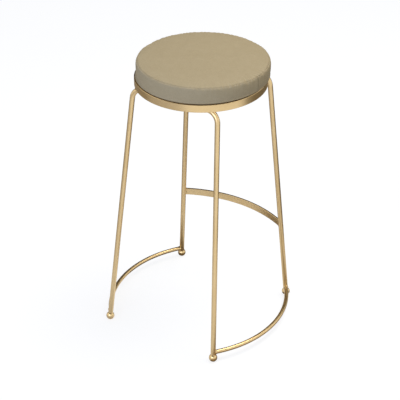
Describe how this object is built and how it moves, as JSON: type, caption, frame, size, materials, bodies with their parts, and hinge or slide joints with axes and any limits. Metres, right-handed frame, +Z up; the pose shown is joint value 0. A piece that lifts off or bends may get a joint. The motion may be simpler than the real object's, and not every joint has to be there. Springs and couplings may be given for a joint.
{
  "type": "bar stool",
  "caption": "Backless bar stool: round padded leather-look seat in a gold steel hoop on splayed bent-rod legs with a bowed footrest, floor arcs and ball feet.",
  "frame": {"origin": "on the floor, under the middle of the overall outline", "axes": "+Z up, +Y toward the footrest side, +X to the right when looking along +Y"},
  "size_m": [0.488, 0.4104, 0.762],
  "materials": {
    "gold_steel": "satin",
    "seat_leather": "satin",
    "foam": "matte",
    "plywood": "matte",
    "dust_cloth": "matte",
    "zinc_steel": "satin"
  },
  "bodies": {
    "root": {"rear_leg_frame": "gold_steel", "front_leg_frame": "gold_steel", "seat_hoop": "gold_steel", "footrest_bar": "gold_steel", "left_floor_arc": "gold_steel", "right_floor_arc": "gold_steel", "ball_foot_rear_left": "gold_steel", "ball_foot_rear_right": "gold_steel", "ball_foot_front_left": "gold_steel", "ball_foot_front_right": "gold_steel", "hoop_welds": "gold_steel", "footrest_welds": "gold_steel", "floor_arc_welds": "gold_steel", "seat_board": "plywood", "foam_pad": "foam", "cover_top_panel": "seat_leather", "cover_side_band": "seat_leather", "dust_cover": "dust_cloth", "staples": "zinc_steel", "tee_nuts": "zinc_steel", "seat_screws": "zinc_steel"}
  },
  "joints": []
}
